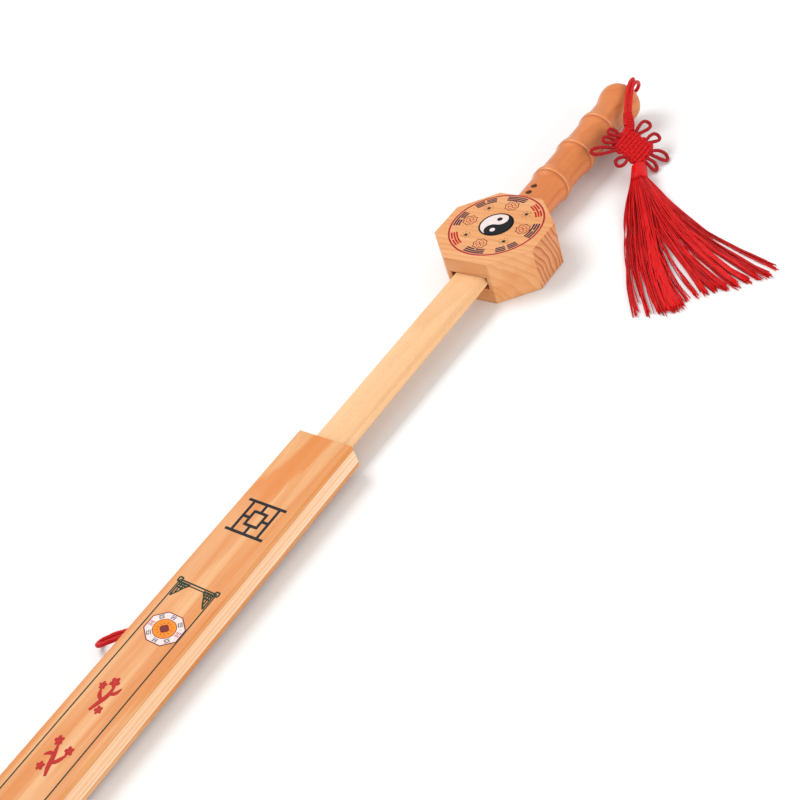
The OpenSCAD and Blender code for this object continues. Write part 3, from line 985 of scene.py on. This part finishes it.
for i in range(4):
    angle = math.radians(90 * i)
    x, y = around(MEDALLION_AT, angle)
    brown.ring(x, y, 5.1, 0.62, 60, wave=0.45, waves=8)
    red.ring(x, y, 3.1, 0.45, 36, wave=0.4, waves=4)
    red.disc(x, y, 0.8, 14)
    for k in range(4):
        b = math.radians(45 + 90 * k)
        brown.bar(around(1.2, b, x, y), around(2.6, b, x, y), 0.45)
    angle = math.radians(45 + 90 * i)
    x, y = around(STAR_AT, angle)
    star = []
    for k in range(16):
        r = 2.7 if k % 4 == 0 else (1.9 if k % 4 == 2 else 1.0)
        star.append(around(r, angle + 2 * math.pi * k / 16, x, y))
    green.poly(star)
    for k in range(8):
        brown.disc(*around(3.5, angle + math.radians(22.5 + 45 * k), x, y), 0.38, 8)
# the two-part disc: white body on the left, black on the right, each with the other's dot
DISC_R, DOT_R = 12.5, 2.1
HALF_R = DISC_R / 2
for k in range(72):
    a0, a1 = 2 * math.pi * k / 72, 2 * math.pi * (k + 1) / 72
    white.poly([(0, 0), around(DISC_R, a0), around(DISC_R, a1)])
half_disc = [around(DISC_R, math.radians(a)) for a in range(180, 361, 5)]
curl = [around(HALF_R, math.radians(a), HALF_R) for a in range(-5, -181, -5)]
curl += [around(HALF_R, math.radians(a), -HALF_R) for a in range(5, 180, 5)]
black.poly(half_disc + curl)
black.ring(0, 0, DISC_R + 0.2, 1.3, 100)
black.disc(HALF_R + 0.1, 0.5, DOT_R, 30)
dots = Print(top, 4)
dots.disc(-HALF_R - 0.1, -0.5, DOT_R, 30)
emblem = (
    (circle, "ring", CRIMSON_INK), (red, "red", RED_INK), (plum, "plum", PLUM_INK), (black, "black", BLACK_INK),
    (white, "white", WHITE_INK), (green, "green", GREEN_INK), (brown, "brown", BROWN_INK),
    (dots, "white_dot", WHITE_INK),
)
for shapes, label, mat in emblem:
    shapes.build("emblem_" + label, mat, "sword", "guard_wood")

# the scabbard's front, laid out the same from both ends: lattice sign, green frame with fretwork corners and badge,
# with four blossom sprays between; distances in mm from the mouth or the tip
board_top = Vector((0, 0, board_hi.z))
mouth = MOUTH_X / MM
tip = TIP_X / MM
FRAME_W = 30.5
SIGN_AT, FRAME_AT, BADGE_AT = 74, 130, 162.5
SPRAYS_AT = (213, 255, 301, 343)


def sprays(shape, x, flip, kind):
    """A brush-drawn blossom spray about 23 mm long and 16 mm wide."""
    def at(a, b):
        return (x + flip * a, flip * b)

    def brush(points, wide):
        shape.stroke([at(*p) for p in points],
                     lambda s: 1.75 * wide * (0.35 + 0.65 * math.sin(math.pi * clamp(s * 0.9 + 0.08))))
    if kind == 0:
        brush([(-11, 3), (-5, 1), (1, -1), (8, -0.5)], 1.9)
        brush([(-3, 0.5), (-1, 4), (3, 6.5)], 1.5)
        brush([(2, -1), (4, -4.5), (8, -6)], 1.5)
        flowers = [(9.5, 1.2, 3.1), (5.0, 7.0, 2.4), (-8.5, -2.6, 2.5)]
    else:
        brush([(-11, -4), (-6, -1.5), (0, 0.5), (7, 3.5)], 1.9)
        brush([(-4, -0.8), (-1, -4), (4, -6.5)], 1.6)
        brush([(0.5, 0.8), (1, 4), (-1.5, 7)], 1.4)
        flowers = [(9, 5, 2.8), (6.5, -6.0, 2.7), (-7.5, 3.6, 2.5)]
    for fx, fy, size in flowers:
        cx, cy = at(fx, fy)
        for k in range(5):
            b = 2 * math.pi * k / 5 + 0.3 + fx
            px, py = around(size * 0.62, b, cx, cy)
            petal = []
            for m in range(14):
                c = 2 * math.pi * m / 14
                along_r, across_r = size * 0.56 * math.cos(c), size * 0.44 * math.sin(c)
                petal.append((px + along_r * math.cos(b) - across_r * math.sin(b),
                              py + along_r * math.sin(b) + across_r * math.cos(b)))
            shape.lift()
            shape.poly(petal)


def lattice_sign(shape, x, flip):
    """A window lattice: a frame with crossed corners, a smaller square in it and four ties between them."""
    def bar(a0, b0, a1, b1):
        shape.bar((x + flip * a0, flip * b0), (x + flip * a1, flip * b1), 2.1)
    for side in (-1, 1):
        bar(side * 12.4, -15.6, side * 12.4, 15.6)
        bar(-12.4, side * 10.6, 12.4, side * 10.6)
        bar(side * 5.4, -5.0, side * 5.4, 5.0)
        bar(-6.2, side * 5.0, 6.2, side * 5.0)
        bar(side * 5.4, 0, side * 12.4, 0)
        bar(0, side * 5.0, 0, side * 10.6)


def corner(shape, x, y, sx, sy):
    """Fretwork bracket in one corner of the frame."""
    for a0, b0, a1, b1 in (
            (-1.6, 1.4, 12.0, 1.4), (1.4, -1.6, 1.4, 9.5), (-1.6, -1.6, -1.6, 1.4), (-1.6, -1.6, 1.4, -1.6),
            (3.2, 1.4, 3.2, 7.6), (1.4, 3.2, 9.6, 3.2), (5.2, 1.4, 5.2, 5.6), (1.4, 5.2, 6.8, 5.2),
            (1.4, 9.5, 4.6, 6.6), (12.0, 1.4, 8.0, 4.6), (4.6, 6.6, 8.0, 4.6)):
        shape.bar((x + sx * a0, y + sy * b0), (x + sx * a1, y + sy * b1), 1.1)


# the badges are longer across the scabbard than along it, and sit a little off its middle
STRETCH, BADGE_Y = 1.28, 1.0


def badge(x, flip):
    """An eight-sided badge with bars round an orange disc."""
    plate, rim, orange, centre = (Print(board_top, k) for k in (1, 2, 3, 4))
    bars_green, bars_red, bars_navy = (Print(board_top, 3) for _ in range(3))

    def at(r, degrees):
        b = math.radians(degrees)
        return x + r * math.cos(b), STRETCH * r * math.sin(b) - BADGE_Y
    plate.poly([at(11.4, 22.5 + 45 * k) for k in range(8)])
    for k in range(8):
        a0, a1 = 22.5 + 45 * k, 67.5 + 45 * k
        rim.poly([at(11.1, a0), at(11.75, a0), at(11.75, a1), at(11.1, a1)])
    rim_in = [at(6.3, 10 * k) for k in range(36)]
    outer = [at(6.75, 10 * k) for k in range(36)]
    for k in range(36):
        rim.poly([rim_in[k], outer[k], outer[(k + 1) % 36], rim_in[(k + 1) % 36]])
    orange.poly([at(6.35, 10 * k) for k in range(36)])
    centre.poly([at(2.7 + 0.25 * math.cos(math.radians(80 * k)), 20 * k) for k in range(18)])
    for k in range(12):
        centre.bar(at(3.3, 30 * k), at(4.6, 30 * k + 10), 0.3)
    for k in range(8):
        b = math.radians(45 * k)
        tx, ty = -math.sin(b), math.cos(b)
        target = (bars_navy, bars_green, bars_red, bars_green)[k % 4]
        for row in range(3):
            cx, cy = at(7.6 + row * 0.95, 45 * k)
            whole = (k + row) % 2
            for s0, s1 in ([(-1.7, 1.7)] if whole else [(-1.7, -0.35), (0.35, 1.7)]):
                target.bar((cx + s0 * tx, cy + s0 * ty), (cx + s1 * tx, cy + s1 * ty), 0.52)
    tag = "near_mouth" if flip > 0 else "near_tip"
    shapes = (
        (plate, "white", WHITE_INK), (rim, "rim", BROWN_INK), (orange, "orange", ORANGE_INK),
        (centre, "centre", BROWN_INK), (bars_green, "green", GREEN_INK), (bars_red, "red", RED_INK),
        (bars_navy, "navy", NAVY_INK),
    )
    for shape, label, mat in shapes:
        shape.build("badge_" + label + "_" + tag, mat, "scabbard", "board_wood")


signs, frames_print, spray_print = (Print(board_top, 0) for _ in range(3))
for end, flip in ((mouth, 1), (tip, -1)):
    lattice_sign(signs, end - flip * SIGN_AT, flip)
    badge(end - flip * BADGE_AT, flip)
    x = end - flip * FRAME_AT
    for sy in (-1, 1):
        corner(frames_print, x, sy * FRAME_W / 2, -flip, -sy)
    frames_print.bar((x, -FRAME_W / 2), (x, FRAME_W / 2), 1.0)
    frames_print.bar((x - flip * 1.9, -FRAME_W / 2), (x - flip * 1.9, FRAME_W / 2), 0.8)
for sy in (-1, 1):
    y = sy * FRAME_W / 2
    frames_print.bar((mouth - FRAME_AT, y), (tip + FRAME_AT, y), 0.9)
for i, away in enumerate(SPRAYS_AT):
    sprays(spray_print, mouth - away, 1, i % 2)
signs.build("lattice_signs", BLACK_INK, "scabbard", "board_wood")
frames_print.build("frame_lines", GREEN_INK, "scabbard", "board_wood")
spray_print.build("blossom_sprays", RED_INK, "scabbard", "board_wood")

# ---------------------------------------------------------------- floor and light
floor_mat, nt, bsdf = new_material("floor")
coords = texture_coords(nt)
mottle = noise(nt, coords, 2.0, 2.0, 0.5)
greys = ramp(nt, mottle, [(0.3, (0.80, 0.80, 0.80)), (0.7, (0.83, 0.83, 0.83))])
nt.links.new(greys, bsdf.inputs["Base Color"])
bsdf.inputs["Roughness"].default_value = 0.9
bsdf.inputs["Specular IOR Level"].default_value = 0.1
reach = 6.0
corners = [(sx * reach, sy * reach, floor_z(sx * reach) - 0.0002) for sx, sy in ((-1, -1), (1, -1), (1, 1), (-1, 1))]
floor = piece("floor", corners, [(0, 1, 2, 3)], floor_mat, None, False)

world = bpy.data.worlds.new("studio")
bpy.context.scene.world = world
world.use_nodes = True
world.node_tree.nodes["Background"].inputs[0].default_value = (1.0, 1.0, 1.0, 1)
world.node_tree.nodes["Background"].inputs[1].default_value = 0.72


def area_light(name, place, target, size, power):
    data = bpy.data.lights.new(name, "AREA")
    data.shape = "RECTANGLE"
    data.size, data.size_y = size
    data.energy = power
    made = bpy.data.objects.new(name, data)
    bpy.context.scene.collection.objects.link(made)
    made.location = place
    made.rotation_mode = "QUATERNION"
    made.rotation_quaternion = (Vector(target) - Vector(place)).to_track_quat("-Z", "Y")


area_light("key", (-0.15, 0.75, 1.25), (-0.15, -0.05, 0.0), (1.0, 0.7), 15)
area_light("fill", (-0.6, -1.6, 0.6), (-0.25, 0, 0), (1.5, 0.7), 18)

# ---------------------------------------------------------------- the end
bpy.context.view_layer.update()
